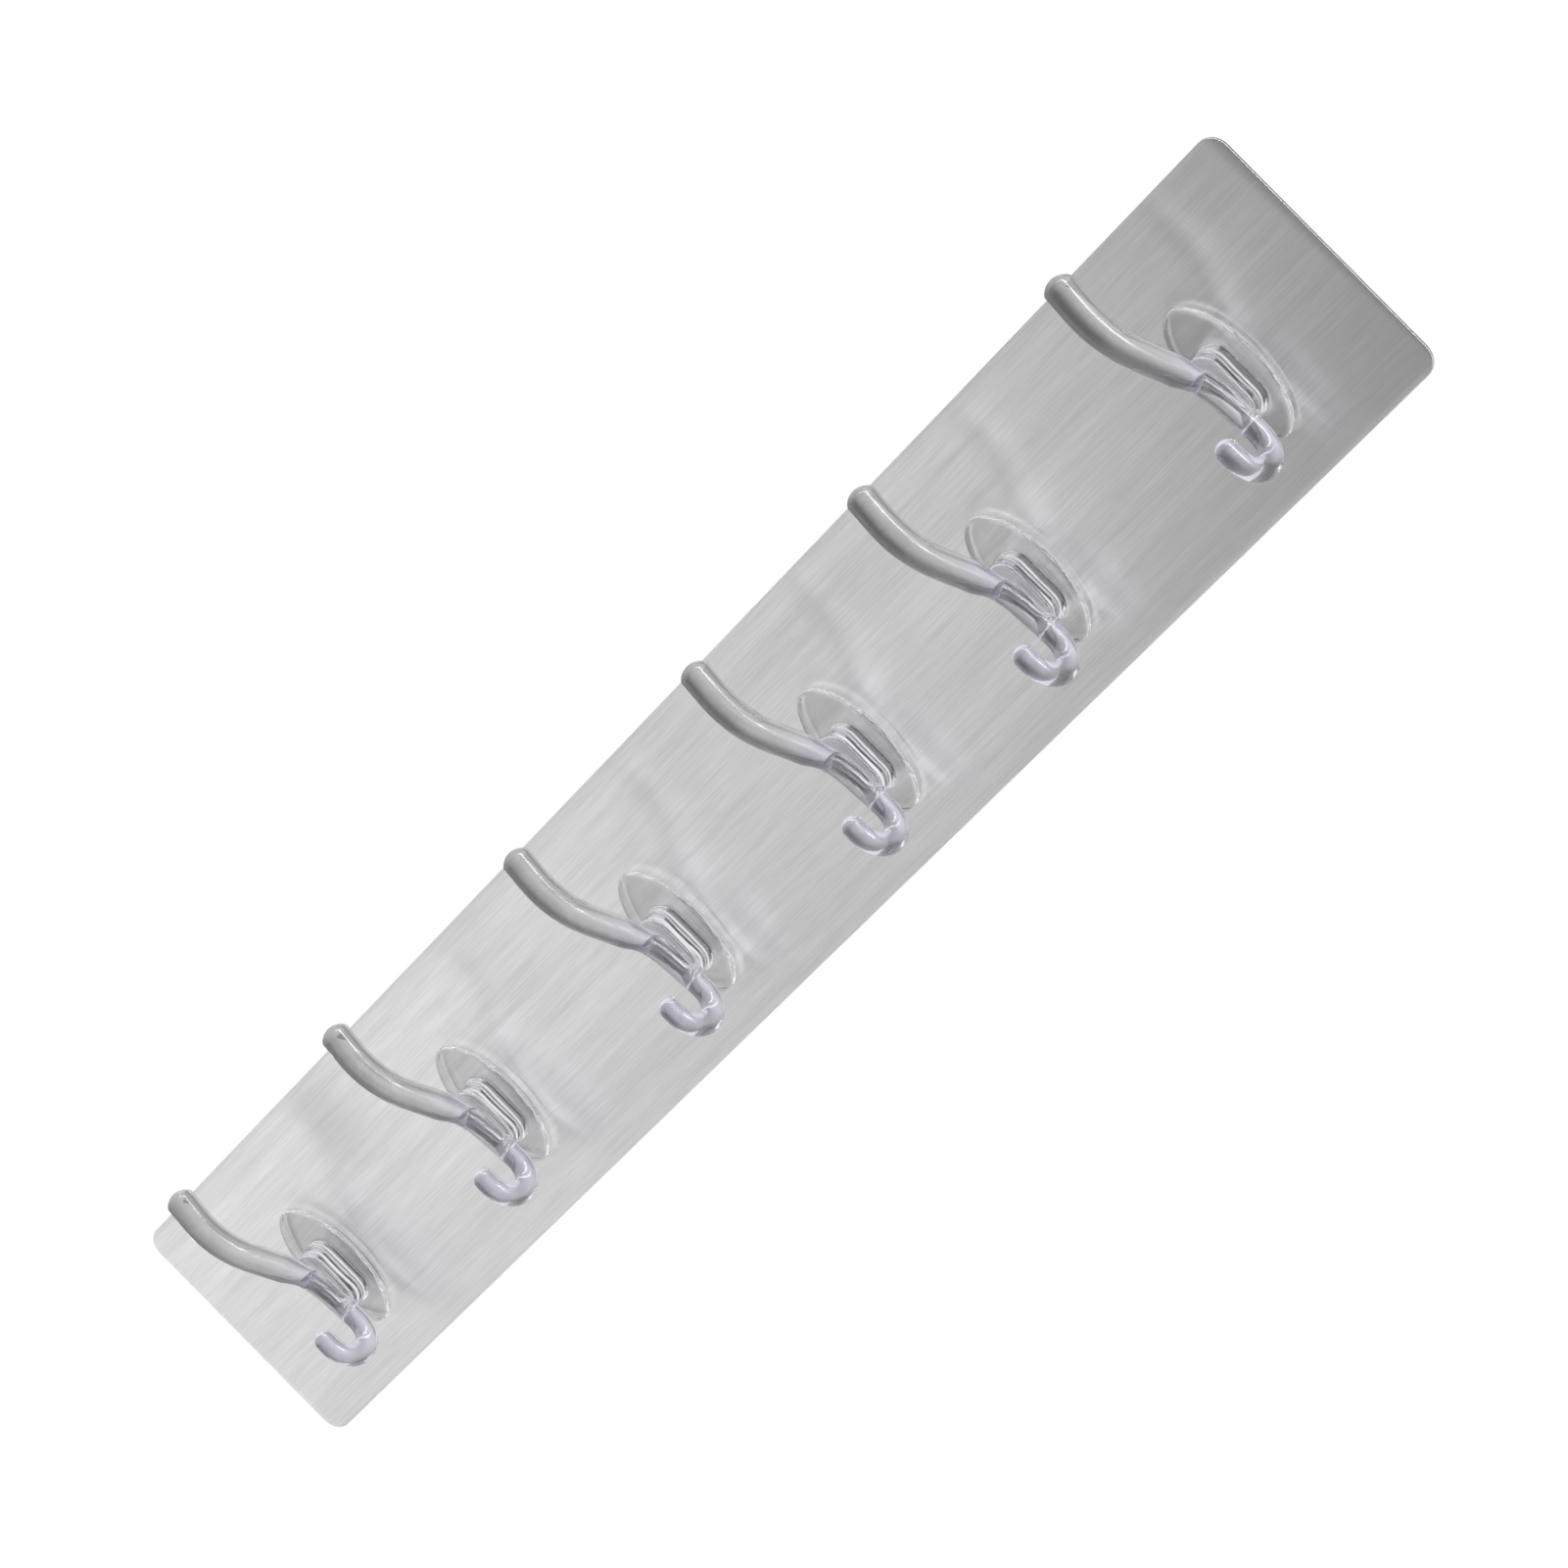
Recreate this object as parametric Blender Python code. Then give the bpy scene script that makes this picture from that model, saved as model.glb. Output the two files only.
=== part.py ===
"""Adhesive wall hook strip: a thin brushed steel plate that carries six clear double hooks.

Frame: metres, +Z up the wall, +X along the strip, and the room on the -Y side. The origin is the
middle of the adhesive's back face, the face that bonds to the wall.
"""
import math

import bmesh
import bpy
from mathutils import Vector

# Steel plate and the adhesive sheet on its back
PLATE_LENGTH = 0.400
PLATE_WIDTH = 0.060
PLATE_THICKNESS = 0.0008
PLATE_CORNER_RADIUS = 0.0042
SHEET_THICKNESS = 0.0005
SHEET_MARGIN = 0.0010

# Clearance between two layers that are bonded together
BOND_GAP = 0.0003

# Bond pad under each hook
PAD_THICKNESS = 0.0004
PAD_MARGIN = 0.0006

# The hook's oval base disc
DISC_WIDTH = 0.0158
DISC_HEIGHT = 0.0320
DISC_THICKNESS = 0.0015
DISC_RIM_ROUND = 0.0008

# The hub, a round-ended post that carries the rod in front of the disc
HUB_WIDTH = 0.0086
HUB_HEIGHT = 0.0168
HUB_DEPTH = 0.0058
HUB_DROP = 0.0015
HUB_TAPER = 0.0005
HUB_EDGE_ROUND = 0.0008

# The rod, one bent length: lip, lower bend, spine, prong
ROD_DIAMETER = 0.0048
SPINE_REACH = 0.0074
SPINE_FOOT_DROP = 0.0113
SPINE_LENGTH = 0.0075
SPINE_SLOPE = math.radians(5)
LOWER_BEND_RADIUS = 0.0057
LIP_LENGTH = 0.0020
LIP_DOME = 0.0020
PRONG_BEND_RADIUS = 0.0195
PRONG_SLOPE = math.radians(36)
PRONG_STRETCH = 0.0098
CROOK_RADIUS = 0.0195
PRONG_TIP_LENGTH = 0.0052
PRONG_TIP_LEAN = math.radians(8)
SWELL_START = 0.0142
SWELL_LENGTH = 0.0060
PRONG_ROOT_DIAMETER = 0.0062
PRONG_TIP_DIAMETER = 0.0068
PRONG_DOME = 0.0018

# One entry for each hook: how far it was set along and up from its even place by hand
HOOK_DROP = 0.0040
HOOK_SHIFTS = [
    (0.0043, 0.0007),
    (0.0044, 0.0012),
    (0.0076, -0.0007),
    (0.0078, -0.0006),
    (0.0001, -0.0004),
    (-0.0004, 0.0002),
]

# Fineness of the faceted surfaces
CORNER_SEGMENTS = 6
OVAL_SEGMENTS = 40
HUB_END_SEGMENTS = 10
STATION_SPACING = 0.0016
DOME_STEPS = 4
EDGE_ROUND_SEGMENTS = 3
ROD_BEVEL_RESOLUTION = 5
SMOOTH_ANGLE = math.radians(40)
WELD_DISTANCE = 0.000001

# Stack of layers, from the wall towards the room
SHEET_FRONT_Y = -SHEET_THICKNESS
PLATE_BACK_Y = SHEET_FRONT_Y - BOND_GAP
PLATE_FRONT_Y = PLATE_BACK_Y - PLATE_THICKNESS
PAD_BACK_Y = PLATE_FRONT_Y - BOND_GAP
PAD_FRONT_Y = PAD_BACK_Y - PAD_THICKNESS
HOOK_BACK_Y = PAD_FRONT_Y - BOND_GAP


def clear_scene():
    """Removes whatever the file holds, so that only the strip is left."""
    for obj in list(bpy.data.objects):
        bpy.data.objects.remove(obj, do_unlink=True)


def make_material(name, colour, roughness, metallic):
    """A Principled material of one colour."""
    material = bpy.data.materials.new(name)
    material.use_nodes = True
    shader = material.node_tree.nodes["Principled BSDF"]
    shader.inputs["Base Color"].default_value = (*colour, 1.0)
    shader.inputs["Roughness"].default_value = roughness
    shader.inputs["Metallic"].default_value = metallic
    return material


def steel_material():
    return make_material("brushed_steel", (0.58, 0.58, 0.59), 0.34, 1.0)


def clear_plastic_material():
    material = make_material("clear_plastic", (0.92, 0.92, 0.94), 0.04, 0.0)
    shader = material.node_tree.nodes["Principled BSDF"]
    shader.inputs["IOR"].default_value = 1.58
    shader.inputs["Transmission Weight"].default_value = 1.0
    return material


def pad_material():
    return make_material("clear_bond_pad", (0.78, 0.78, 0.79), 0.45, 0.0)


def sheet_material():
    return make_material("adhesive_foam", (0.86, 0.86, 0.84), 0.7, 0.0)


def object_from_bmesh(name, bm):
    """Puts a bmesh into a new object in the scene."""
    mesh = bpy.data.meshes.new(name)
    bmesh.ops.recalc_face_normals(bm, faces=bm.faces[:])
    bm.to_mesh(mesh)
    bm.free()
    obj = bpy.data.objects.new(name, mesh)
    bpy.context.scene.collection.objects.link(obj)
    return obj


def round_edges(bm, edges, radius, segments):
    """Rounds edges with a circular bevel."""
    bmesh.ops.bevel(bm, geom=edges, offset=radius, segments=segments, profile=0.5, affect="EDGES")


def rounded_slab(name, length, width, thickness, corner_radius):
    """A flat slab with round corners, its back face in the plane y = 0 and its front face in -y."""
    bm = bmesh.new()
    bmesh.ops.create_cube(bm, size=1.0)
    bmesh.ops.scale(bm, vec=(length, thickness, width), verts=bm.verts)
    bmesh.ops.translate(bm, vec=(0.0, -thickness / 2, 0.0), verts=bm.verts)
    corners = [e for e in bm.edges if abs(e.verts[0].co.y - e.verts[1].co.y) > thickness / 2]
    round_edges(bm, corners, corner_radius, CORNER_SEGMENTS)
    return object_from_bmesh(name, bm)


def prism(bm, outline, thickness, front_inset, edge_round):
    """Extrudes an outline of (x, z) points from y = 0 to y = -thickness.

    The front face is drawn in by front_inset on every side, and its rim is rounded by edge_round.
    """
    back = bm.faces.new([bm.verts.new((x, 0.0, z)) for x, z in outline])
    extruded = bmesh.ops.extrude_face_region(bm, geom=[back])["geom"]
    front_verts = [g for g in extruded if isinstance(g, bmesh.types.BMVert)]
    half_width = max(x for x, _ in outline)
    half_height = max(abs(z) for _, z in outline)
    taper = Vector((1 - front_inset / half_width, 1.0, 1 - front_inset / half_height))
    bmesh.ops.scale(bm, vec=taper, verts=front_verts)
    bmesh.ops.translate(bm, vec=(0.0, -thickness, 0.0), verts=front_verts)
    if edge_round:
        rim = [e for e in bm.edges if all(v in front_verts for v in e.verts)]
        round_edges(bm, rim, edge_round, EDGE_ROUND_SEGMENTS)


def oval_outline(width, height):
    """Points of an upright ellipse."""
    turns = [2 * math.pi * i / OVAL_SEGMENTS for i in range(OVAL_SEGMENTS)]
    return [(width / 2 * math.cos(a), height / 2 * math.sin(a)) for a in turns]


def stadium_outline(width, height):
    """Points of an upright rectangle with semicircular ends."""
    radius = width / 2
    straight = height / 2 - radius
    points = []
    for end, start_angle in ((1, 0.0), (-1, math.pi)):
        for i in range(HUB_END_SEGMENTS + 1):
            a = start_angle + math.pi * i / HUB_END_SEGMENTS
            points.append((radius * math.cos(a), end * straight + radius * math.sin(a)))
    return points


def make_oval(name, width, height, thickness, rim_round):
    bm = bmesh.new()
    prism(bm, oval_outline(width, height), thickness, 0.0, rim_round)
    return object_from_bmesh(name, bm)


def make_hub():
    """The post in front of the disc. It starts inside the disc, so that the two join."""
    bm = bmesh.new()
    buried = DISC_THICKNESS / 2
    outline = stadium_outline(HUB_WIDTH, HUB_HEIGHT)
    prism(bm, outline, HUB_DEPTH + buried, HUB_TAPER, HUB_EDGE_ROUND)
    bmesh.ops.translate(bm, vec=(0.0, buried - DISC_THICKNESS, -HUB_DROP), verts=bm.verts)
    return object_from_bmesh("hub_former", bm)


def straight_leg(path, length):
    """Adds a straight stretch to a path of (reach, height, heading) stations."""
    reach, height, heading = path[-1]
    steps = max(1, round(length / STATION_SPACING))
    for i in range(1, steps + 1):
        run = length * i / steps
        path.append((reach + run * math.sin(heading), height + run * math.cos(heading), heading))


def bend_leg(path, radius, turn):
    """Adds an arc that turns the heading by an angle. A positive turn leads away from the wall."""
    reach, height, heading = path[-1]
    side = math.copysign(1.0, turn)
    centre_reach = reach + side * radius * math.cos(heading)
    centre_height = height - side * radius * math.sin(heading)
    steps = max(2, round(radius * abs(turn) / STATION_SPACING))
    for i in range(1, steps + 1):
        angle = heading + turn * i / steps
        path.append(
            (
                centre_reach - side * radius * math.cos(angle),
                centre_height + side * radius * math.sin(angle),
                angle,
            )
        )


def upper_path():
    """Stations from the spine's foot up to the end of the prong. Headings are from straight up."""
    path = [(SPINE_REACH, -SPINE_FOOT_DROP, SPINE_SLOPE)]
    straight_leg(path, SPINE_LENGTH)
    bend_leg(path, PRONG_BEND_RADIUS, PRONG_SLOPE - SPINE_SLOPE)
    straight_leg(path, PRONG_STRETCH)
    bend_leg(path, CROOK_RADIUS, -PRONG_SLOPE - PRONG_TIP_LEAN)
    straight_leg(path, PRONG_TIP_LENGTH)
    return path


def lower_path():
    """Stations from the spine's foot round the lower bend to the end of the lip."""
    path = [(SPINE_REACH, -SPINE_FOOT_DROP, SPINE_SLOPE + math.pi)]
    bend_leg(path, LOWER_BEND_RADIUS, -math.pi - SPINE_SLOPE)
    straight_leg(path, LIP_LENGTH)
    return path


def add_dome(points, radii, dome):
    """Ends a rod in a spherical cap of height dome: more stations, each with a smaller radius."""
    direction = (points[-1] - points[-2]).normalized()
    end, radius = points[-1], radii[-1]
    sphere = (radius**2 + dome**2) / (2 * dome)
    rim_angle = math.acos((sphere - dome) / sphere)
    for i in range(1, DOME_STEPS + 1):
        angle = rim_angle * (1 - i / (DOME_STEPS + 0.5))
        points.append(end + direction * (sphere * math.cos(angle) - sphere + dome))
        radii.append(sphere * math.sin(angle))


def rod_radius(run, length):
    """Radius at a distance run up from the spine's foot, on an upper stretch of the given length.

    The spine is even. The prong swells at its root with a smooth step, then widens to its tip.
    """
    swell = min(max((run - SWELL_START) / SWELL_LENGTH, 0.0), 1.0)
    smooth = swell * swell * (3 - 2 * swell)
    share = max(run - SWELL_START, 0.0) / (length - SWELL_START)
    root_gain = (PRONG_ROOT_DIAMETER - ROD_DIAMETER) * smooth
    tip_gain = (PRONG_TIP_DIAMETER - PRONG_ROOT_DIAMETER) * share
    return (ROD_DIAMETER + root_gain + tip_gain) / 2


def rod_stations():
    """Centres and radii of the rod from the lip's end to the prong's end."""
    upper = [Vector((0.0, -reach, height)) for reach, height, _ in upper_path()]
    lower = [Vector((0.0, -reach, height)) for reach, height, _ in lower_path()]
    runs = [0.0]
    for before, after in zip(upper, upper[1:]):
        runs.append(runs[-1] + (after - before).length)
    upper_radii = [rod_radius(run, runs[-1]) for run in runs]
    lower_radii = [ROD_DIAMETER / 2] * len(lower)
    add_dome(upper, upper_radii, PRONG_DOME)
    add_dome(lower, lower_radii, LIP_DOME)
    return lower[::-1] + upper[1:], lower_radii[::-1] + upper_radii[1:]


def make_rod():
    """The bent rod as a curve with a round section that swells towards the prong's tip."""
    points, radii = rod_stations()
    curve = bpy.data.curves.new("rod_former", "CURVE")
    curve.dimensions = "3D"
    curve.bevel_depth = 1.0
    curve.bevel_resolution = ROD_BEVEL_RESOLUTION
    curve.use_fill_caps = True
    spline = curve.splines.new("POLY")
    spline.points.add(len(points) - 1)
    for station, point, radius in zip(spline.points, points, radii):
        station.co = (*point, 1.0)
        station.radius = radius
    obj = bpy.data.objects.new("rod_former", curve)
    bpy.context.scene.collection.objects.link(obj)
    return obj


def evaluated_mesh(obj, name):
    """The object's mesh as its modifiers, or its bevel, leave it."""
    graph = bpy.context.evaluated_depsgraph_get()
    mesh = bpy.data.meshes.new_from_object(obj.evaluated_get(graph), depsgraph=graph)
    mesh.name = name
    return mesh


def closed_mesh_object(name, curve_object):
    """Turns a bevelled curve into a mesh object whose caps are welded to its wall."""
    mesh = evaluated_mesh(curve_object, name)
    bm = bmesh.new()
    bm.from_mesh(mesh)
    bmesh.ops.remove_doubles(bm, verts=bm.verts, dist=WELD_DISTANCE)
    bpy.data.objects.remove(curve_object, do_unlink=True)
    return object_from_bmesh(name, bm)


def make_hook_mesh():
    """One moulding: disc, hub and rod joined into a single closed body."""
    body = make_oval("disc_former", DISC_WIDTH, DISC_HEIGHT, DISC_THICKNESS, DISC_RIM_ROUND)
    others = [make_hub(), closed_mesh_object("rod_body", make_rod())]
    for other in others:
        union = body.modifiers.new(f"join_{other.name}", "BOOLEAN")
        union.operation = "UNION"
        union.solver = "EXACT"
        union.object = other
    bpy.context.view_layer.update()
    mesh = evaluated_mesh(body, "clear_double_hook")
    for former in [body, *others]:
        bpy.data.objects.remove(former, do_unlink=True)
    shade(mesh)
    return mesh


def shade(mesh):
    """Smooth shading, with the true corners kept sharp."""
    mesh.shade_smooth()
    mesh.set_sharp_from_angle(angle=SMOOTH_ANGLE)


def hook_places():
    """(x, z) of each hook's disc centre, from the strip's left end to its right."""
    pitch = PLATE_LENGTH / len(HOOK_SHIFTS)
    places = []
    for number, (along, up) in enumerate(HOOK_SHIFTS):
        x = (number + 0.5) * pitch - PLATE_LENGTH / 2 + along
        places.append((x, up - HOOK_DROP))
    return places


def add_copies(name, mesh, places, y):
    """One object at each (x, z) place, all sharing a mesh, with its back face at y."""
    for number, (x, z) in enumerate(places, start=1):
        obj = bpy.data.objects.new(f"{name}_{number}", mesh)
        obj.location = (x, y, z)
        bpy.context.scene.collection.objects.link(obj)


def build_plate():
    plate = rounded_slab(
        "face_plate", PLATE_LENGTH, PLATE_WIDTH, PLATE_THICKNESS, PLATE_CORNER_RADIUS
    )
    plate.location.y = PLATE_BACK_Y
    plate.data.materials.append(steel_material())
    return plate


def build_sheet():
    sheet = rounded_slab(
        "wall_adhesive_sheet",
        PLATE_LENGTH - 2 * SHEET_MARGIN,
        PLATE_WIDTH - 2 * SHEET_MARGIN,
        SHEET_THICKNESS,
        PLATE_CORNER_RADIUS - SHEET_MARGIN,
    )
    sheet.data.materials.append(sheet_material())
    return sheet


def build_pads(places):
    former = make_oval(
        "pad_former", DISC_WIDTH - 2 * PAD_MARGIN, DISC_HEIGHT - 2 * PAD_MARGIN, PAD_THICKNESS, 0.0
    )
    former.data.materials.append(pad_material())
    add_copies("hook_pad", former.data, places, PAD_BACK_Y)
    bpy.data.objects.remove(former, do_unlink=True)


def build_hooks(places):
    mesh = make_hook_mesh()
    mesh.materials.clear()
    mesh.materials.append(clear_plastic_material())
    add_copies("hook", mesh, places, HOOK_BACK_Y)


def main():
    clear_scene()
    build_plate()
    build_sheet()
    places = hook_places()
    build_pads(places)
    build_hooks(places)


main()
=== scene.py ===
# %% [markdown]
# # Adhesive wall hook strip
#
# The real object is a flat strip of brushed steel that is stuck to a wall. Six clear hooks are
# bonded along it, each one moulding: an oval disc, a raised hub, a long upper prong and a short
# lower hook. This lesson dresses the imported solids: it gives the steel its grain, turns each hook
# into one smooth clear body, and lights the strip on a pale, plain set.

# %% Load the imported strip
import math

import bpy
import numpy as np
from mathutils import Matrix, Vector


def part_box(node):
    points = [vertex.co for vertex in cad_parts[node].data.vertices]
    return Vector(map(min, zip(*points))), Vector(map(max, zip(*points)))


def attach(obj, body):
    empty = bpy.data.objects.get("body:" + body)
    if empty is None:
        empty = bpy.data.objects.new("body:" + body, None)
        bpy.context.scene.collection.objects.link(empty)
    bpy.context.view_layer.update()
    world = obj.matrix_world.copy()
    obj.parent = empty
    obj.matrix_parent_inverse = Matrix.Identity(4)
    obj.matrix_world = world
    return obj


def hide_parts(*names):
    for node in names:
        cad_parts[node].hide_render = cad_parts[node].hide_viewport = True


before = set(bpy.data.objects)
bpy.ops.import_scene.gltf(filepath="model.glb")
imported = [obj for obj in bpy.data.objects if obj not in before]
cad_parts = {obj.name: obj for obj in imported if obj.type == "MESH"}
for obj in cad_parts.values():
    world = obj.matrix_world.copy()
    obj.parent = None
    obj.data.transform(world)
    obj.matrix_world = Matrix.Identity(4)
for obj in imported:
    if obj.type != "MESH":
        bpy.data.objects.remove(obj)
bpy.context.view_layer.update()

MM = 0.001

# %% [markdown]
# ## Camera
#
# The strip is seen from its right, level with it, through a long lens that is rolled so far that
# the strip runs up the picture from corner to corner. A camera could be aimed with a Track To
# constraint, but that leaves no roll. Here its three axes are written out: right and up are turned
# by the roll, and the third looks back from the strip.

# %% Aim the camera
CAMERA_PLACE = (0.8563696, -1.0292046, -0.0147875)
CAMERA_LENS = 152.303
CAMERA_SENSOR = 36.0
CAMERA_CLIP = (0.05, 100.0)
SIDE_TURN = math.radians(39.136)
ROLL = math.radians(44.657)
NOD = math.radians(0.686)


def camera_axes():
    """Right, up and backward axes. The level right axis and straight up are turned by the roll,
    then all three are turned by the nod about the level right axis."""
    level = np.array([math.cos(SIDE_TURN), math.sin(SIDE_TURN), 0.0])
    ahead = np.array([-math.sin(SIDE_TURN), math.cos(SIDE_TURN), 0.0])
    upward = np.array([0.0, 0.0, 1.0])
    right = math.cos(ROLL) * level - math.sin(ROLL) * upward
    up = math.sin(ROLL) * level + math.cos(ROLL) * upward
    nod = np.array(Matrix.Rotation(NOD, 3, level.tolist()))
    return nod @ np.stack([right, up, -ahead], axis=1)


def build_camera():
    """The scene's camera. Its axes and place fill the columns of its matrix."""
    data = bpy.data.cameras.new("strip_camera")
    data.lens = CAMERA_LENS
    data.sensor_width = CAMERA_SENSOR
    data.clip_start, data.clip_end = CAMERA_CLIP
    camera = bpy.data.objects.new("strip_camera", data)
    bpy.context.scene.collection.objects.link(camera)
    matrix = np.eye(4)
    matrix[:3, :3] = camera_axes()
    matrix[:3, 3] = CAMERA_PLACE
    camera.matrix_world = Matrix(matrix.tolist())
    bpy.context.scene.camera = camera


build_camera()
print("camera is", round(float(np.linalg.norm(CAMERA_PLACE)), 3), "m from the strip's middle")

# %% [markdown]
# ## Skins of rings
#
# Every piece here is cut, moulded or die-cut with a steady outline, so each can be made as a stack
# of rings: one outline carried along a line, a little larger or smaller at each stop. Boxes with
# bevels would do for some of them, but one way for all keeps the edges alike. The rings are
# worked out as whole arrays, and one function turns them into a closed skin.

# %% From rings to a mesh


def new_object(name, points, faces):
    """A smooth-shaded mesh object at the origin, with its place in its points."""
    mesh = bpy.data.meshes.new(name)
    mesh.from_pydata(points.tolist(), [], faces)
    mesh.shade_smooth()
    obj = bpy.data.objects.new(name, mesh)
    bpy.context.scene.collection.objects.link(obj)
    return obj


def skin(rings):
    """Points and faces of a closed skin over rings[i, j], point j of ring i. Four-sided faces join
    each ring to the next, and one flat face closes each end."""
    count, around = rings.shape[:2]
    index = np.arange(count * around).reshape(count, around)
    low, high = index[:-1], index[1:]
    wall = np.stack([low, np.roll(low, -1, axis=1), np.roll(high, -1, axis=1), high], axis=-1)
    faces = wall.reshape(-1, 4).tolist() + [index[0, ::-1].tolist(), index[-1].tolist()]
    return rings.reshape(-1, 3), faces


def volume(obj):
    """Volume in cubic millimetres: the sum of the tetrahedra from the origin to each triangle. It
    is positive where the faces point outwards."""
    mesh = obj.data
    mesh.calc_loop_triangles()
    points = np.empty(len(mesh.vertices) * 3)
    mesh.vertices.foreach_get("co", points)
    corners = np.empty(len(mesh.loop_triangles) * 3, int)
    mesh.loop_triangles.foreach_get("vertices", corners)
    triangles = points.reshape(-1, 3)[corners.reshape(-1, 3)] / MM
    return float(np.linalg.det(triangles).sum() / 6)


# %% Outlines and slabs
ARC = np.linspace(0.0, math.pi / 2, 9)


def rounded_plan(half_x, half_z, corner, inset):
    """Outlines of an upright rectangle with round corners, one for each inset. The corner circles
    keep their centres, and their radius is the corner's less the inset."""
    turn = (np.arange(4)[:, None] * math.pi / 2 + ARC[None, :]).reshape(-1)
    sign_x = np.repeat([1.0, -1.0, -1.0, 1.0], len(ARC))
    sign_z = np.repeat([1.0, 1.0, -1.0, -1.0], len(ARC))
    radius = corner - np.asarray(inset)[:, None]
    x = sign_x * (half_x - corner) + radius * np.cos(turn)
    z = sign_z * (half_z - corner) + radius * np.sin(turn)
    return np.stack([x, z], axis=-1)


def oval_plan(half_x, half_z, inset, around=96):
    """Outlines of an upright ellipse, one for each inset, whose two half axes lose the inset."""
    turn = np.arange(around) * 2 * math.pi / around
    inset = np.asarray(inset)[:, None]
    return np.stack([(half_x - inset) * np.cos(turn), (half_z - inset) * np.sin(turn)], axis=-1)


def slab_section(thickness, back_round, front_round, taper=0.0, steps=6):
    """Depth and inset of the edge of a slab, from its back face to its front one. Each rim is a
    quarter circle, and between them the wall leans in evenly by the taper."""
    quarter = np.linspace(0.0, math.pi / 2, steps)
    depth = np.concatenate([
        back_round * (1 - np.cos(quarter)),
        thickness - front_round * (1 - np.sin(quarter)),
    ])
    inset = np.concatenate([
        back_round * (1 - np.sin(quarter)),
        front_round * (1 - np.cos(quarter)),
    ])
    return depth, inset + taper * depth / thickness


def stack(plan, back_y, depth, place=(0.0, 0.0)):
    """Rings in space: each outline of the plan at its own depth in front of back_y."""
    rings = np.empty((*plan.shape[:2], 3))
    rings[..., 0] = plan[..., 0] + place[0]
    rings[..., 1] = back_y - depth[:, None]
    rings[..., 2] = plan[..., 1] + place[1]
    return rings


# %% [markdown]
# ## Node maths
#
# A finish is a small sum done at every point of a surface. Drawn by hand in the node editor, such
# a sum fills the screen. Here one small class wraps a socket, so that `1 - mask` or `a * b` adds
# the Math node for it, and one method makes any other node.

# %% A socket that can be added and multiplied


class Sheet:
    """A node tree to draw on."""

    def __init__(self, tree):
        self.tree = tree

    def add(self, kind, settings=None, sockets=None, output=0):
        """Makes a node: its settings first, then the values or links of its sockets."""
        node = self.tree.nodes.new(kind)
        for name, value in (settings or {}).items():
            if name == "stops":
                self.set_stops(node.color_ramp, value)
            else:
                setattr(node, name, value)
        for name, value in (sockets or {}).items():
            self.plug(node.inputs[name], value)
        return Wire(self, node.outputs[output])

    def plug(self, socket, value):
        """Links a wire to the socket, or sets a plain value on it."""
        if isinstance(value, Wire):
            self.tree.links.new(value.socket, socket)
        else:
            socket.default_value = value

    @staticmethod
    def set_stops(ramp, stops):
        """Gives a colour ramp its stops, each a position from 0 to 1 and a colour."""
        while len(ramp.elements) < len(stops):
            ramp.elements.new(1.0)
        for element, (position, colour) in zip(ramp.elements, stops):
            element.position = position
            element.color = (*colour, 1.0)


class Wire:
    """An output socket. Python's signs add Math nodes. Where a number stands first, Python asks for
    __radd__ or __rsub__, and the second puts the terms back in their order."""

    def __init__(self, sheet, socket):
        self.sheet = sheet
        self.socket = socket

    def math(self, operation, *terms):
        """A Math node whose sockets are the terms in order."""
        sockets = dict(enumerate(terms))
        return self.sheet.add("ShaderNodeMath", {"operation": operation}, sockets)

    def __add__(self, other):
        return self.math("ADD", self, other)

    def __rsub__(self, other):
        return self.math("SUBTRACT", other, self)

    def __mul__(self, other):
        return self.math("MULTIPLY", self, other)

    def __truediv__(self, other):
        return self.math("DIVIDE", self, other)

    __radd__ = __add__


# %% Patterns that several finishes share


def stretched_noise(sheet, cell, detail=2.0):
    """Noise whose cells have the given size in metres along x, y and z."""
    place = sheet.add("ShaderNodeTexCoord", output="Object")
    scale = tuple(1.0 / size for size in cell)
    mapped = sheet.add("ShaderNodeMapping", None, {"Vector": place, "Scale": scale})
    sockets = {"Vector": mapped, "Scale": 1.0, "Detail": detail}
    return sheet.add("ShaderNodeTexNoise", None, sockets, "Fac")


def object_axis(sheet, axis):
    """One coordinate of the shaded point, in metres."""
    place = sheet.add("ShaderNodeTexCoord", output="Object")
    return sheet.add("ShaderNodeSeparateXYZ", None, {0: place}, axis)


def mix_colours(sheet, share, first, second):
    """The first colour where share is 0, and the second where it is 1. A Mix node has a set of
    sockets for each type, and its colours are numbers 6 and 7 going in and 2 coming out."""
    first, second = (c if isinstance(c, Wire) else (*c, 1.0) for c in (first, second))
    return sheet.add("ShaderNodeMix", {"data_type": "RGBA"}, {0: share, 6: first, 7: second}, 2)


def ease(sheet, value, low, high, start=0.0, end=1.0):
    """Goes smoothly from start, where value is low or less, to end, where it is high or more."""
    return sheet.add(
        "ShaderNodeMapRange",
        {"interpolation_type": "SMOOTHSTEP"},
        {"Value": value, "From Min": low, "From Max": high, "To Min": start, "To Max": end},
    )


def falling(sheet, value, high, low):
    """Goes smoothly from 0, where value is high or more, to 1, where it is low or less."""
    return ease(sheet, value, low, high, 1.0, 0.0)


def bumped(sheet, height, strength, depth):
    """The surface's direction, tilted as if it rose by the depth in metres where height is 1."""
    sockets = {"Height": height, "Strength": strength, "Distance": depth}
    return sheet.add("ShaderNodeBump", None, sockets)


def new_finish(name, **constants):
    """A material, its sheet and its Principled shader, whose plain sockets are set by name."""
    material = bpy.data.materials.new(name)
    material.use_nodes = True
    shader = material.node_tree.nodes["Principled BSDF"]
    for socket, value in constants.items():
        shader.inputs[socket.replace("_", " ")].default_value = value
    return material, Sheet(material.node_tree), shader


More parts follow.
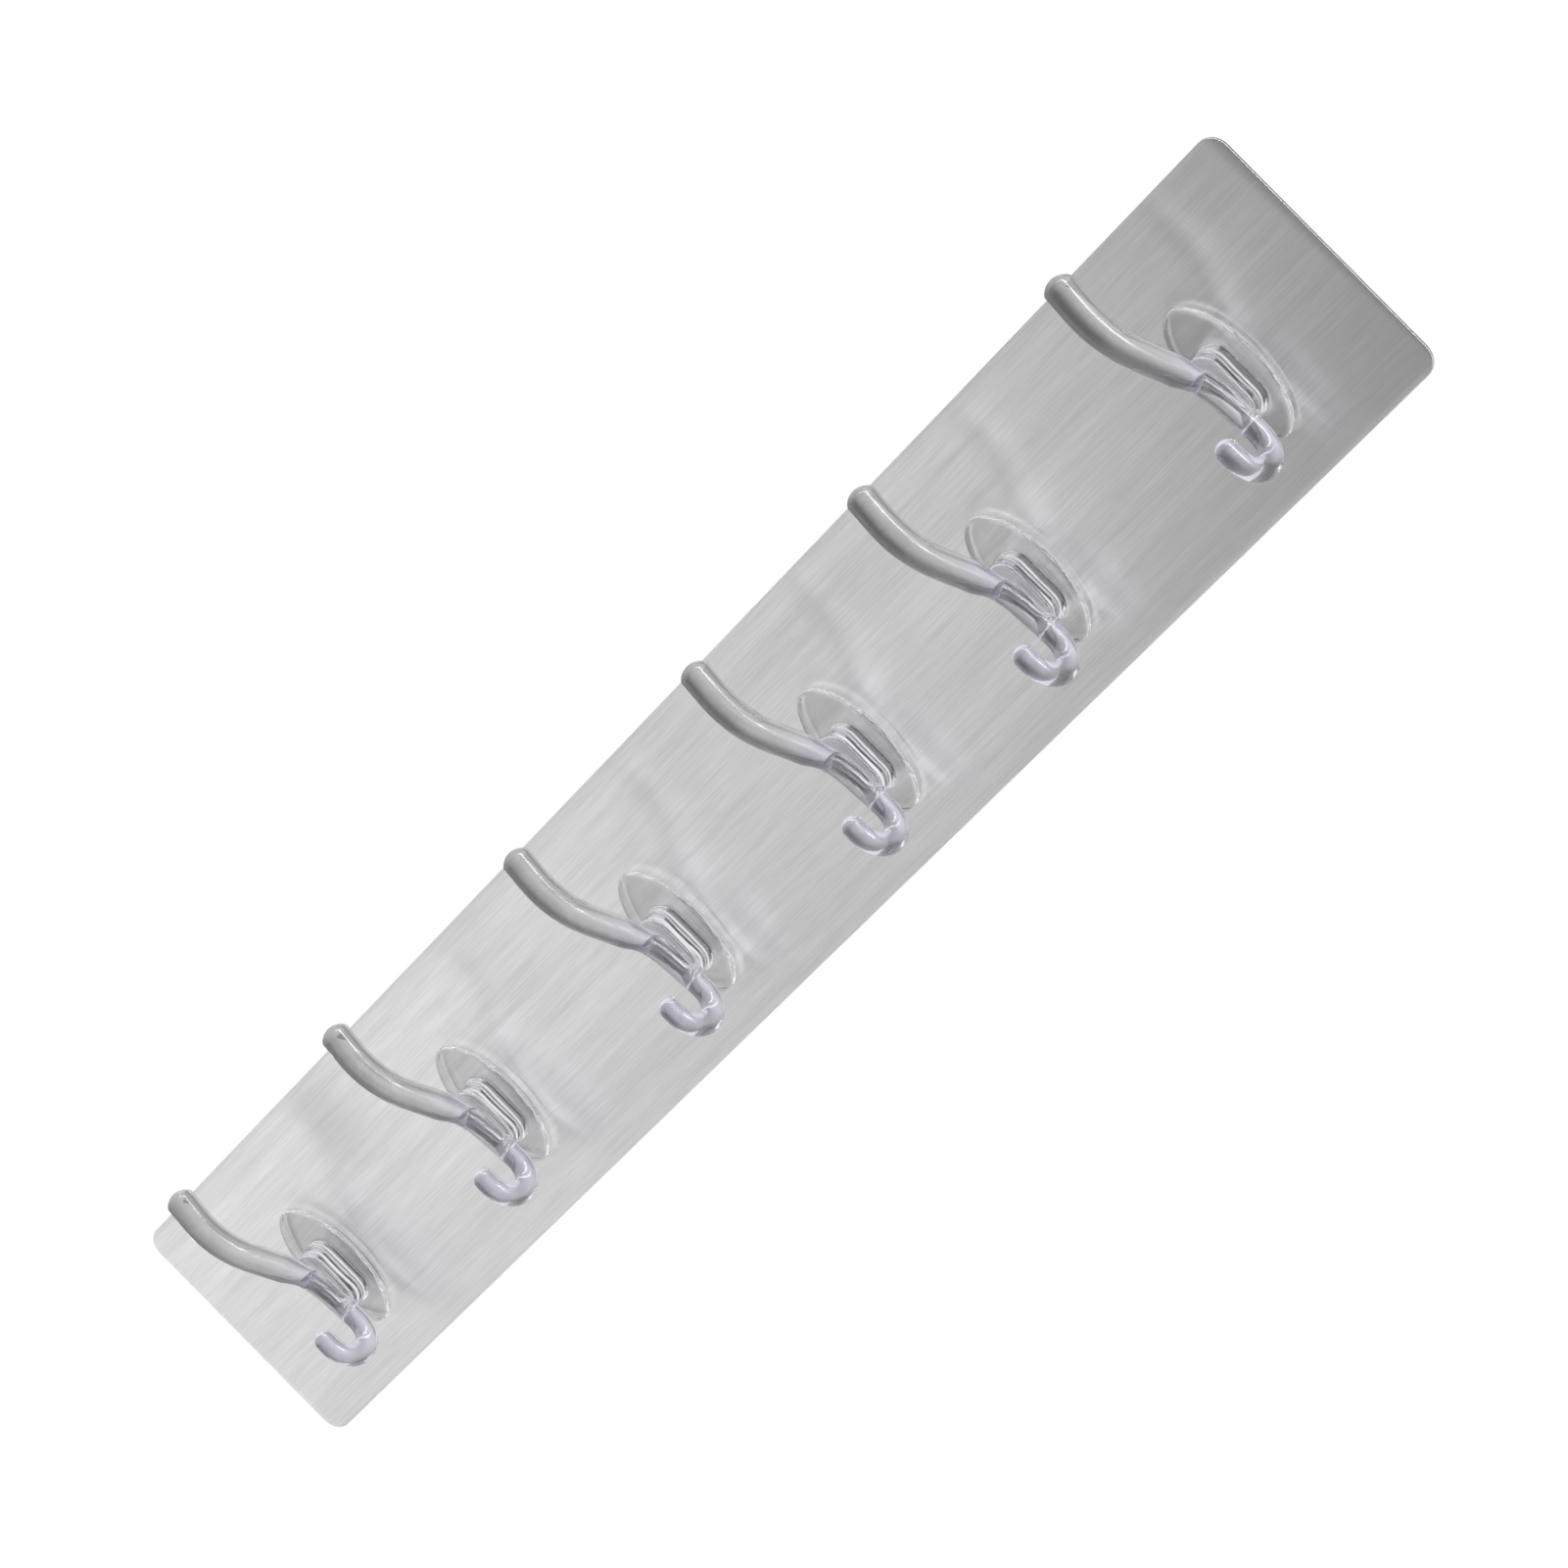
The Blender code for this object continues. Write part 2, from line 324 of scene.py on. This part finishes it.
# %% [markdown]
# ## Brushed steel
#
# The strip is cut from sheet that was ground lengthwise with an abrasive belt, which leaves fine
# scratches a few millimetres long, and broader bands where the belt ran heavier. A photograph of
# steel would show them, but would stretch. Noise with cells that are long along the strip and
# thin across it gives both, at their true size, with no seam.

# %% Make the steel
SCRATCH_CELL = (0.014, 0.014, 0.00035)
SCRATCH_DETAIL = 3.0
SCRATCH_SHARE = 0.6
SCRATCH_STRENGTH = 0.12
SCRATCH_DEPTH = 0.00005
BAND_CELL = (0.16, 0.16, 0.0030)
NOISE_SPAN = (0.3, 0.7)
STEEL_DARK = (0.70, 0.70, 0.705)
STEEL_LIGHT = (0.82, 0.82, 0.82)
STEEL_ROUGHNESS = 0.38
LIGHT_SMOOTHER_BY = 0.06


def steel_finish():
    """Steel that blurs what it mirrors far more across the scratches than along them."""
    material, sheet, shader = new_finish(
        "brushed_steel", Metallic=1.0, Anisotropic=0.9, Anisotropic_Rotation=0.25
    )
    scratch = stretched_noise(sheet, SCRATCH_CELL, SCRATCH_DETAIL)
    band = stretched_noise(sheet, BAND_CELL)
    fine = ease(sheet, scratch, *NOISE_SPAN) * SCRATCH_SHARE
    broad = ease(sheet, band, *NOISE_SPAN) * (1 - SCRATCH_SHARE)
    tone = fine + broad
    sheet.plug(shader.inputs["Base Color"], mix_colours(sheet, tone, STEEL_DARK, STEEL_LIGHT))
    sheet.plug(shader.inputs["Roughness"], STEEL_ROUGHNESS - tone * LIGHT_SMOOTHER_BY)
    relief = bumped(sheet, scratch, SCRATCH_STRENGTH, SCRATCH_DEPTH)
    sheet.plug(shader.inputs["Normal"], relief)
    return material


# %% [markdown]
# ## Clear plastic
#
# The hooks are clear polycarbonate: glossy, faintly grey, and a little violet in the thick middle,
# where light has the longest way through it. A volume that soaks up light would give that tint,
# but an exported model would lose it, so here it is a colour that goes by the place on the hook.
# The rod in front of the disc is painted a much darker grey: that is painted shade, standing for
# the dark side of a clear rod.
# Glass settings with the plastic's own index of refraction do the rest. A faint, slow waviness
# stands for the way a moulding cools, and keeps its highlights from looking ruled.

# %% Make the plastic
PLASTIC_IOR = 1.58
THIN_TINT = (0.94, 0.94, 0.94)
# painted shade: the rods get a much darker grey than the disc, for their dark side
ROD_TINT_WITH_PAINTED_SHADE = (0.76, 0.76, 0.76)
CORE_TINT = (0.885, 0.86, 0.97)
DISC_REACH = (-0.0042, -0.0062)
CORE_TOP = (0.009, -0.001)
CORE_LEAST = 0.7
CORE_MOTTLE = 0.5
WAVE_CELL = (0.004, 0.004, 0.006)
WAVE_STRENGTH = 0.10
WAVE_DEPTH = 0.0004
HAZE_CELL = (0.0015, 0.0015, 0.0015)
HAZE_SPAN = (0.4, 0.8)
PLASTIC_ROUGHNESS = 0.02
HAZE_ROUGHNESS = 0.03


def plastic_finish():
    """Clear plastic in three tints: the disc, the rod in front of it, made darker with painted shade,
    and the rod's lower part with the hub."""
    material, sheet, shader = new_finish(
        "clear_plastic", IOR=PLASTIC_IOR, Transmission_Weight=1.0
    )
    wave = stretched_noise(sheet, WAVE_CELL)
    haze = stretched_noise(sheet, HAZE_CELL)
    y, z = object_axis(sheet, "Y"), object_axis(sheet, "Z")
    raised = falling(sheet, y, *DISC_REACH)
    core = raised * falling(sheet, z, *CORE_TOP) * (CORE_LEAST + haze * CORE_MOTTLE)
    # painted shade: the rod in front of the disc is darker grey than the disc itself
    rod = mix_colours(sheet, raised, THIN_TINT, ROD_TINT_WITH_PAINTED_SHADE)
    sheet.plug(shader.inputs["Base Color"], mix_colours(sheet, core, rod, CORE_TINT))
    blur = PLASTIC_ROUGHNESS + ease(sheet, haze, *HAZE_SPAN) * HAZE_ROUGHNESS
    sheet.plug(shader.inputs["Roughness"], blur)
    sheet.plug(shader.inputs["Normal"], bumped(sheet, wave, WAVE_STRENGTH, WAVE_DEPTH))
    return material


# %% [markdown]
# ## Adhesive
#
# Each hook sits on a die-cut pad of clear acrylic film, and the whole back of the strip carries a
# sheet of white foam tape. The film is nearly invisible once it has wetted both faces, so it gets
# a low index of refraction and a little haze. The foam is matt, with fine cells.

# %% Make the film and the foam
FILM_IOR = 1.05
FILM_CELL = (0.0012, 0.0012, 0.0012)
FILM_DETAIL = 3.0
FILM_DARK = (0.97, 0.97, 0.98)
FILM_LIGHT = (1.0, 1.0, 1.0)
FILM_ROUGHNESS = 0.10
FOAM_IOR = 1.45
FOAM_CELL = (0.0008, 0.0008, 0.0008)
FOAM_CELL_SHARE = 0.5
FOAM_DETAIL = 3.0
FOAM_CLOUD = (0.03, 0.03, 0.012)
FOAM_DARK = (0.74, 0.74, 0.71)
FOAM_LIGHT = (0.86, 0.86, 0.84)
FOAM_ROUGHNESS = 0.55
FOAM_STRENGTH = 0.3
FOAM_DEPTH = 0.00008
ROUGHER_BY = 0.20


def film_finish():
    """A clear film with a fine mottle in its haze."""
    material, sheet, shader = new_finish(
        "clear_acrylic_film", IOR=FILM_IOR, Transmission_Weight=1.0
    )
    mottle = stretched_noise(sheet, FILM_CELL, FILM_DETAIL)
    sheet.plug(shader.inputs["Base Color"], mix_colours(sheet, mottle, FILM_DARK, FILM_LIGHT))
    sheet.plug(shader.inputs["Roughness"], FILM_ROUGHNESS + mottle * ROUGHER_BY)
    return material


def foam_finish():
    """Matt white foam: fine cells, and a broad, faint cloud over them."""
    material, sheet, shader = new_finish("white_adhesive_foam", IOR=FOAM_IOR)
    cells = stretched_noise(sheet, FOAM_CELL, FOAM_DETAIL)
    cloud = stretched_noise(sheet, FOAM_CLOUD)
    tone = ease(sheet, cells, *NOISE_SPAN) * FOAM_CELL_SHARE + cloud * (1 - FOAM_CELL_SHARE)
    sheet.plug(shader.inputs["Base Color"], mix_colours(sheet, tone, FOAM_DARK, FOAM_LIGHT))
    sheet.plug(shader.inputs["Roughness"], FOAM_ROUGHNESS + cloud * ROUGHER_BY)
    sheet.plug(shader.inputs["Normal"], bumped(sheet, cells, FOAM_STRENGTH, FOAM_DEPTH))
    return material


# %% [markdown]
# ## Plate and adhesive
#
# The plate is sheared from sheet, and the foam is cut to almost the same outline. Each is a slab
# whose outline is a rectangle with round corners, so a few rings from back to front make it, and
# the rims catch the light like a real cut edge. A box with a Bevel modifier would do it too, but it
# rounds the rims and the corners by one and the same radius.

# %% Build the plate and its adhesive
PLATE_LENGTH = 0.400
PLATE_WIDTH = 0.060
PLATE_CORNER = 0.0042
PLATE_EDGE_ROUND = 0.00018
FOAM_MARGIN = 0.0010
FOAM_EDGE_ROUND = 0.0001
LAYER_GAP = 0.00002
CREASE = math.radians(50)


def finish_piece(obj, material, slot, *nodes):
    """Gives a finished piece its material, and lets it stand for its CAD nodes. The slot is not used.
    """
    obj.data.materials.append(material)
    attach(obj, "root")
    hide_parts(*nodes)
    print(obj.name, "volume in cubic mm:", round(volume(obj), 1))
    return obj


def build_plate():
    """The steel strip: a slab with round corners in plan and a fine round on both rims."""
    low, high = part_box("face_plate")
    depth, inset = slab_section(high.y - low.y, PLATE_EDGE_ROUND, PLATE_EDGE_ROUND)
    plan = rounded_plan(PLATE_LENGTH / 2, PLATE_WIDTH / 2, PLATE_CORNER, inset)
    plate = new_object("brushed_plate", *skin(stack(plan, high.y, depth)))
    plate.data.set_sharp_from_angle(angle=CREASE)
    return finish_piece(plate, steel_finish(), "steel", "face_plate")


def build_foam():
    """The adhesive sheet, from the wall's plane to the back of the steel."""
    low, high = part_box("wall_adhesive_sheet")
    plate_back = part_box("face_plate")[1].y
    thickness = high.y - plate_back - LAYER_GAP
    depth, inset = slab_section(thickness, FOAM_EDGE_ROUND, FOAM_EDGE_ROUND)
    half_x = PLATE_LENGTH / 2 - FOAM_MARGIN
    half_z = PLATE_WIDTH / 2 - FOAM_MARGIN
    plan = rounded_plan(half_x, half_z, PLATE_CORNER - FOAM_MARGIN, inset)
    foam = new_object("adhesive_foam_sheet", *skin(stack(plan, high.y, depth)))
    foam.data.set_sharp_from_angle(angle=CREASE)
    return finish_piece(foam, foam_finish(), "adhesive", "wall_adhesive_sheet")


plate = build_plate()
build_foam()

# %% [markdown]
# ## The clear hook
#
# One hook is one moulding that forks: the disc carries the hub, and the hub carries a rod that
# runs up into the prong and down round the lower hook. No single grid covers a fork. Three grids
# joined by a Boolean would, but they meet in sharp creases, and in clear plastic each crease
# shows as a seam. So the three closed skins are laid over each other and wrapped again in one
# fine, even skin, which is then smoothed a little: that leaves the small fillets of a real mould.

# %% Sizes of a hook
DISC_WIDTH = 0.0158
DISC_HEIGHT = 0.0320
DISC_THICKNESS = 0.0015
HUB_WIDTH = 0.0086
HUB_HEIGHT = 0.0168
HUB_DEPTH = 0.0058
HUB_DROP = 0.0015
HUB_TAPER = 0.0005
DISC_BACK_ROUND = 0.0002
RIM_ROUND = 0.0008

ROD_DIAMETER = 0.0048
SPINE_REACH = 0.0074
SPINE_FOOT_DROP = 0.0113
SPINE_HEADING = 5.0
UPPER_KNOTS = np.cumsum([0.0, 0.0075, 0.01055, 0.0098, 0.01498, 0.0052])
UPPER_HEADINGS = np.radians([SPINE_HEADING, SPINE_HEADING, 36.0, 36.0, -8.0, -8.0])
LOWER_KNOTS = np.cumsum([0.0, 0.01840, 0.0020])
LOWER_HEADINGS = np.radians([SPINE_HEADING + 180.0, 0.0, 0.0])
SWELL_START = 0.0142
SWELL_LENGTH = 0.0060
PRONG_ROOT_DIAMETER = 0.0062
PRONG_TIP_DIAMETER = 0.00658
PRONG_DOME = 0.0018
LIP_DOME = 0.0020
STATION_STEP = 0.0004

# %% The rod's line and its thickness


def follow(knots, headings):
    """Stations of a line that leaves the spine's foot. Its heading, from straight up towards the
    room, is read between the knots, and the steps along it are added up. Returns run, reach,
    height and heading."""
    run = np.linspace(0.0, knots[-1], round(knots[-1] / STATION_STEP) + 1)
    heading = np.interp(run, knots, headings)
    middle = (heading[1:] + heading[:-1]) / 2
    step = run[1]
    reach = SPINE_REACH + np.append(0.0, np.cumsum(np.sin(middle)) * step)
    height = -SPINE_FOOT_DROP + np.append(0.0, np.cumsum(np.cos(middle)) * step)
    return run, reach, height, heading


def prong_radius(run):
    """Half the diameter along the upper arm: even on the spine, a smooth swell at the prong's root,
    then a steady widening to its tip."""
    swell = np.clip((run - SWELL_START) / SWELL_LENGTH, 0.0, 1.0)
    swell = swell * swell * (3 - 2 * swell)
    share = np.clip((run - SWELL_START) / (run[-1] - SWELL_START), 0.0, 1.0)
    root_gain = (PRONG_ROOT_DIAMETER - ROD_DIAMETER) * swell
    tip_gain = (PRONG_TIP_DIAMETER - PRONG_ROOT_DIAMETER) * share
    return (ROD_DIAMETER + root_gain + tip_gain) / 2


def dome(radius, height, steps=8):
    """Advance and radius of stations over a spherical cap of the given rim radius and height."""
    sphere = (radius**2 + height**2) / (2 * height)
    angle = math.acos((sphere - height) / sphere) * (1 - np.arange(1, steps + 1) / (steps + 0.5))
    return sphere * np.cos(angle) - sphere + height, sphere * np.sin(angle)


def capped_arm(knots, headings, radius_of, cap_height):
    """Reach, height, heading and radius along an arm, with a domed cap after its last station."""
    run, reach, height, heading = follow(knots, headings)
    radius = radius_of(run)
    advance, cap_radius = dome(radius[-1], cap_height)
    reach = np.append(reach, reach[-1] + advance * math.sin(heading[-1]))
    height = np.append(height, height[-1] + advance * math.cos(heading[-1]))
    heading = np.append(heading, np.full(len(advance), heading[-1]))
    return np.stack([reach, height, heading, np.append(radius, cap_radius)])


def rod_rings(around=48):
    """A circle carried along the rod's line, from the lip's end, round the lower bend, up the spine
    and out to the prong's tip. Each circle stands square to the heading."""
    upper = capped_arm(UPPER_KNOTS, UPPER_HEADINGS, prong_radius, PRONG_DOME)
    lower = capped_arm(
        LOWER_KNOTS, LOWER_HEADINGS, lambda run: np.full(len(run), ROD_DIAMETER / 2), LIP_DOME
    )
    lower[2] -= math.pi
    reach, height, heading, radius = np.concatenate([lower[:, :0:-1], upper], axis=1)[..., None]
    turn = np.arange(around) * 2 * math.pi / around
    across = radius * np.sin(turn)
    x = radius * np.cos(turn)
    y = -(reach + across * np.cos(heading))
    z = height - across * np.sin(heading)
    return np.stack([x, y, z], axis=-1)


# %% The disc and the hub


def disc_rings():
    """The oval disc. Its back face lies in the plane y = 0."""
    depth, inset = slab_section(DISC_THICKNESS, DISC_BACK_ROUND, RIM_ROUND)
    return stack(oval_plan(DISC_WIDTH / 2, DISC_HEIGHT / 2, inset), 0.0, depth)


def hub_rings():
    """The round-ended post. It starts inside the disc, so that the two skins overlap."""
    buried = DISC_THICKNESS / 2
    depth, inset = slab_section(HUB_DEPTH + buried, 0.0, RIM_ROUND, HUB_TAPER)
    plan = rounded_plan(HUB_WIDTH / 2, HUB_HEIGHT / 2, HUB_WIDTH / 2, inset)
    return stack(plan, buried - DISC_THICKNESS, depth, (0.0, -HUB_DROP))


# %% Wrap the three skins in one
WRAP_STEP = 0.00028
SMOOTH_FACTOR = 0.5
SMOOTH_TIMES = 8


def joined(parts):
    """Points and faces of several skins in one mesh, with the face numbers shifted to suit."""
    shifts = np.cumsum([0] + [len(points) for points, _ in parts[:-1]])
    faces = [[int(i + shift) for i in face] for (_, fs), shift in zip(parts, shifts) for face in fs]
    return np.concatenate([points for points, _ in parts]), faces


def wrapped_hook():
    """Points and faces of one hook, with the middle of its disc's back face at the origin."""
    parts = [skin(rings()) for rings in (disc_rings, hub_rings, rod_rings)]
    former = new_object("hook_former", *joined(parts))
    wrap = former.modifiers.new("wrap", "REMESH")
    wrap.mode = "VOXEL"
    wrap.voxel_size = WRAP_STEP
    smooth = former.modifiers.new("smooth", "SMOOTH")
    smooth.factor = SMOOTH_FACTOR
    smooth.iterations = SMOOTH_TIMES
    graph = bpy.context.evaluated_depsgraph_get()
    mesh = former.evaluated_get(graph).to_mesh()
    points = np.empty(len(mesh.vertices) * 3)
    mesh.vertices.foreach_get("co", points)
    corners = np.empty(len(mesh.loops), int)
    mesh.loops.foreach_get("vertex_index", corners)
    sides = len(mesh.loops) // len(mesh.polygons)
    former.evaluated_get(graph).to_mesh_clear()
    bpy.data.objects.remove(former, do_unlink=True)
    return points.reshape(-1, 3), corners.reshape(-1, sides).tolist()


# %% [markdown]
# ## Hooks and pads
#
# The six mouldings came from one tool, so they share one skin. Each was pressed on by hand, a
# little off its even pitch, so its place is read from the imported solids. A linked copy of one
# object would save memory, but every finished piece stays at the origin here, so the skin's points
# are moved instead. The pad fills the film-thin space between the steel and the disc.

# %% Set the six hooks on their pads
HOOKS = 6
PAD_EDGE_ROUND = 0.00008


def pad_rings(number, disc_back):
    """The oval film between the front of the steel and the disc's back face."""
    low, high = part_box(f"hook_pad_{number}")
    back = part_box("face_plate")[0].y - LAYER_GAP
    thickness = back - disc_back - LAYER_GAP
    depth, inset = slab_section(thickness, PAD_EDGE_ROUND, PAD_EDGE_ROUND)
    plan = oval_plan((high.x - low.x) / 2, (high.z - low.z) / 2, inset)
    return stack(plan, back, depth, ((low.x + high.x) / 2, (low.z + high.z) / 2))


def build_hooks():
    """Six hooks and their pads. Each hook's skin is moved to the middle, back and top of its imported
    solid."""
    points, faces = wrapped_hook()
    low_shape, high_shape = points.min(axis=0), points.max(axis=0)
    plastic = plastic_finish()
    film = film_finish()
    for number in range(1, HOOKS + 1):
        low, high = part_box(f"hook_{number}")
        middle = (low.x + high.x) / 2
        place = np.array([middle, high.y - high_shape[1], high.z - high_shape[2]])
        hook = new_object(f"clear_hook_{number}", points + place, faces)
        finish_piece(hook, plastic, "clear_plastic", f"hook_{number}")
        pad = new_object(f"clear_pad_{number}", *skin(pad_rings(number, place[1])))
        pad.data.set_sharp_from_angle(angle=CREASE)
        finish_piece(pad, film, "bond_pad", f"hook_pad_{number}")
        hook.visible_shadow = pad.visible_shadow = False
    size = np.round((high_shape - low_shape) / MM, 2)
    print("one hook:", len(points), "points, size in mm", size)


build_hooks()

# %% [markdown]
# ## Floor
#
# The strip hangs on a wall, so nothing stands on the floor, but a pale floor well below it gives
# the other views a ground. It fades out with distance, so that no edge of it shows.

# %% Lay the floor
FLOOR_DROP = 0.9
FLOOR_RADIUS = 3.2
FLOOR_STAYS_TO = 0.4 * FLOOR_RADIUS
FLOOR_CELL = (0.05, 0.05, 0.05)
FLOOR_DETAIL = 3.0
FLOOR_DARK = (0.86, 0.86, 0.86)
FLOOR_LIGHT = (0.92, 0.92, 0.92)


def floor_finish():
    """A pale, matt floor that turns clear between two distances from the middle."""
    material, sheet, shader = new_finish("pale_floor", Roughness=0.8)
    grain = stretched_noise(sheet, FLOOR_CELL, FLOOR_DETAIL)
    sheet.plug(shader.inputs["Base Color"], mix_colours(sheet, grain, FLOOR_DARK, FLOOR_LIGHT))
    place = sheet.add("ShaderNodeTexCoord", output="Object")
    span = sheet.add("ShaderNodeVectorMath", {"operation": "LENGTH"}, {0: place}, "Value")
    sheet.plug(shader.inputs["Alpha"], falling(sheet, span, FLOOR_RADIUS, FLOOR_STAYS_TO))
    return material


def build_floor(rings=12, around=72):
    """A flat disc: rings of growing radius round one small face. The skin's last face would roof
    the whole disc over, so it is left off, and the rest is turned to face up."""
    radius = np.linspace(0.02, 1.0, rings)[:, None] * FLOOR_RADIUS
    turn = np.arange(around) * 2 * math.pi / around
    x, y = radius * np.cos(turn), radius * np.sin(turn)
    points, faces = skin(np.stack([x, y, np.full_like(x, -FLOOR_DROP)], axis=-1))
    floor = new_object("floor", points, [face[::-1] for face in faces[:-1]])
    floor.data.materials.append(floor_finish())
    print("floor:", round(2 * FLOOR_RADIUS, 1), "m across,", FLOOR_DROP, "m below the strip")


build_floor()

# %% [markdown]
# ## Studio light
#
# The set is a white tent with one bright wall to the strip's left and dark cloth in front of it.
# Clear rods bend the wall and the cloth into a light and a dark side. Behind the strip the tent is
# grey, and a darker cloth there would show as a black speck in the rods' tips. A narrow, very
# bright slit to the strip's right draws the crisp line along each rod. Lamps alone would give hard
# spots. Here the tent is a sky whose brightness goes by its bearing, with a brighter roof, and it
# shows the camera a plain white ground.

# %% Hang the tent
TENT_PEAK = 1.02
ROOF_GLOW = 0.60
ROOF_EDGE = (0.5, 0.9)
TENT_STOPS = (
    (-180, 0.40), (-112, 0.30), (-104, 0.08), (-97, 9.0), (-91, 9.0), (-85, 0.08), (-20, 0.08),
    (5, 0.06), (22, 0.08), (33, 0.25), (40, 0.32), (47, 0.42), (55, 0.85), (66, 1.10), (78, 0.80),
    (95, 0.40), (112, 0.60), (124, 0.38), (145, 0.38), (160, 0.40), (180, 0.40),
)
FULL_TURN = 360


def build_tent():
    """The sky's strength by bearing, in degrees from straight ahead of the strip towards its left,
    read between the stops, plus the roof's glow where a ray climbs steeply. Rays from the camera
    meet plain white instead."""
    world = bpy.data.worlds.new("tent")
    bpy.context.scene.world = world
    world.use_nodes = True
    sheet = Sheet(world.node_tree)
    direction = sheet.add("ShaderNodeTexCoord", output="Generated")
    split = sheet.tree.nodes.new("ShaderNodeSeparateXYZ")
    sheet.plug(split.inputs[0], direction)
    x, y, z = (Wire(sheet, split.outputs[axis]) for axis in "XYZ")
    turn = x.math("ARCTAN2", x * -1.0, y * -1.0) / (2 * math.pi) + 0.5
    stops = [(bearing / FULL_TURN + 0.5, (share,) * 3) for bearing, share in TENT_STOPS]
    wall = sheet.add("ShaderNodeValToRGB", {"stops": stops}, {"Fac": turn}) * TENT_PEAK
    level = wall + ease(sheet, z, *ROOF_EDGE) * ROOF_GLOW
    seen = sheet.add("ShaderNodeLightPath", output="Is Camera Ray")
    back = world.node_tree.nodes["Background"]
    back.inputs["Color"].default_value = (1.0, 1.0, 1.0, 1.0)
    sheet.plug(back.inputs["Strength"], level * (1 - seen) + seen)


build_tent()
print("tent stops:", len(TENT_STOPS))

# %% [markdown]
# ## Tubes for the steel
#
# The steel has its own light: a row of tubes above and to the left, each turned up or down until
# the strip fades evenly from its left end to its right one and from top to bottom. Clear hooks
# throw bright and dark patches on steel beside them, which the photograph hardly shows. Larger
# lamps would soften them. Here the tubes light the steel alone, and the hooks throw no shadow.

# %% Hang the tubes
TUBE_ENDS = (-1.6, -1.2, -0.9, -0.65, -0.45, -0.25)
TUBE_GLOWS = (8.0, 17.0, 14.0, 18.0, 8.0)
TUBE_WIDTH = 0.02
TUBE_REACH = 0.9
TUBE_HEIGHT = 0.08


def build_tubes():
    """A row of thin lamps that face the wall. The power of each is what gives its face the wanted
    glow: glow times pi times its area."""
    steel_only = bpy.data.collections.new("lit_by_tubes")
    steel_only.objects.link(plate)
    tubes = zip(TUBE_ENDS[:-1], TUBE_ENDS[1:], TUBE_GLOWS)
    for number, (start, end, glow) in enumerate(tubes, 1):
        data = bpy.data.lights.new(f"tube_{number}", "AREA")
        data.shape = "RECTANGLE"
        data.size, data.size_y = end - start, TUBE_WIDTH
        data.energy = glow * math.pi * data.size * data.size_y
        tube = bpy.data.objects.new(f"tube_{number}", data)
        tube.location = ((start + end) / 2, -TUBE_REACH, TUBE_HEIGHT)
        tube.rotation_euler = (math.pi / 2, 0.0, 0.0)
        tube.visible_camera = False
        tube.light_linking.receiver_collection = steel_only
        bpy.context.scene.collection.objects.link(tube)


build_tubes()
print("tubes:", len(TUBE_GLOWS), "from x =", TUBE_ENDS[0], "to", TUBE_ENDS[-1], "m")

# %% [markdown]
# ## Light paths
#
# Light goes round inside a clear rod many times before it leaves, and each turn counts as a
# bounce. With the usual few bounces those rays end black and draw dark lines in the plastic. The
# limits are raised until such lines are gone. The picture keeps plain, unaltered tones.

# %% Set the paths and the tones
MOST_BOUNCES = 32
cycles = bpy.context.scene.cycles
cycles.max_bounces = cycles.glossy_bounces = cycles.transmission_bounces = MOST_BOUNCES
bpy.context.scene.view_settings.view_transform = "Standard"
print("bounces:", MOST_BOUNCES)
